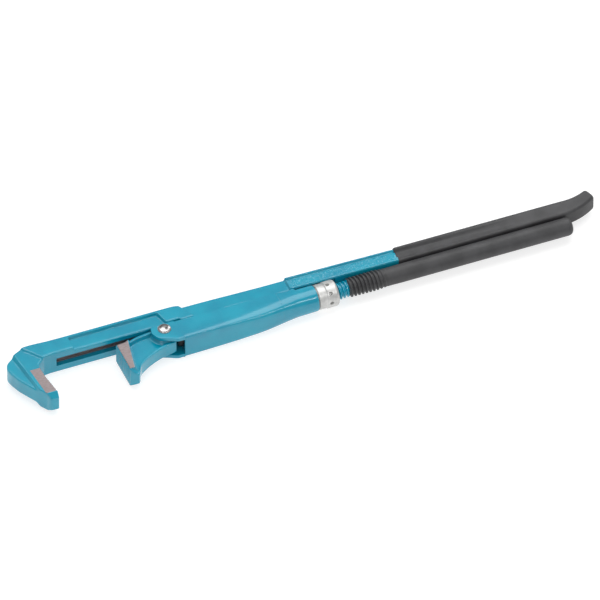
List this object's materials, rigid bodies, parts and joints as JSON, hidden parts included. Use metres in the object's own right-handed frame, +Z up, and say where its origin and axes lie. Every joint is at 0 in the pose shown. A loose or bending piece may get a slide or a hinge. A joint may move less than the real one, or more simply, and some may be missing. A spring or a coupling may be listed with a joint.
{
  "type": "pipe wrench",
  "caption": "Two-handled right-angle pipe wrench with a hook jaw, a pivoting short jaw and a sleeve moved by a round nut on a screw.",
  "frame": {"origin": "middle of the tool's outline, on the surface that it lies on", "axes": "+X from the jaws towards the handle ends, +Y towards the back of the hook's shank, +Z up from the flat side it lies on"},
  "size_m": [0.562, 0.0696, 0.0265],
  "materials": {
    "blue_paint": "gloss enamel over a forging",
    "black_dip": "matte dipped PVC",
    "zinc": "matte zinc plating",
    "rivet_plate": "bright plated",
    "steel": "oiled steel"
  },
  "bodies": {
    "fixed_leg": {"fixed_leg": "blue_paint", "upper_grip": "black_dip", "hinge_pin": "steel"},
    "screw_leg": {"screw_leg": "blue_paint", "lower_grip": "black_dip"},
    "sleeve": {"sleeve": "blue_paint", "jaw_rivet": "rivet_plate", "jaw_spring": "steel", "spring_rivet": "steel", "thrust_washer": "steel"},
    "nut": {"adjusting_nut": "zinc", "retaining_ring": "steel"},
    "movable_jaw": {"movable_jaw": "blue_paint"}
  },
  "joints": [
    {"name": "lever_spread", "type": "hinge", "parent": "fixed_leg", "child": "screw_leg", "pos_m": [-0.116, 0.01933, 0.012], "axis": [0, 0, 1], "range_deg": [-0.6, 0]},
    {"name": "sleeve_slide", "type": "slide", "parent": "screw_leg", "child": "sleeve", "axis": [-1, 0, 0], "range_m": [0, 0.057]},
    {"name": "nut_spin", "type": "hinge", "parent": "sleeve", "child": "nut", "pos_m": [0.016, 0.00483, 0.012], "axis": [1, 0, 0], "range_deg": [-5863, 0]},
    {"name": "jaw_tilt", "type": "hinge", "parent": "sleeve", "child": "movable_jaw", "pos_m": [-0.136, 0.00633, 0.012], "axis": [0, 0, 1], "range_deg": [-4, 3], "stiffness_Nm_per_rad": 1}
  ],
  "couplings": [
    {"joint": "nut_spin", "follows": "sleeve_slide", "rad_per_m": -1795.2}
  ]
}
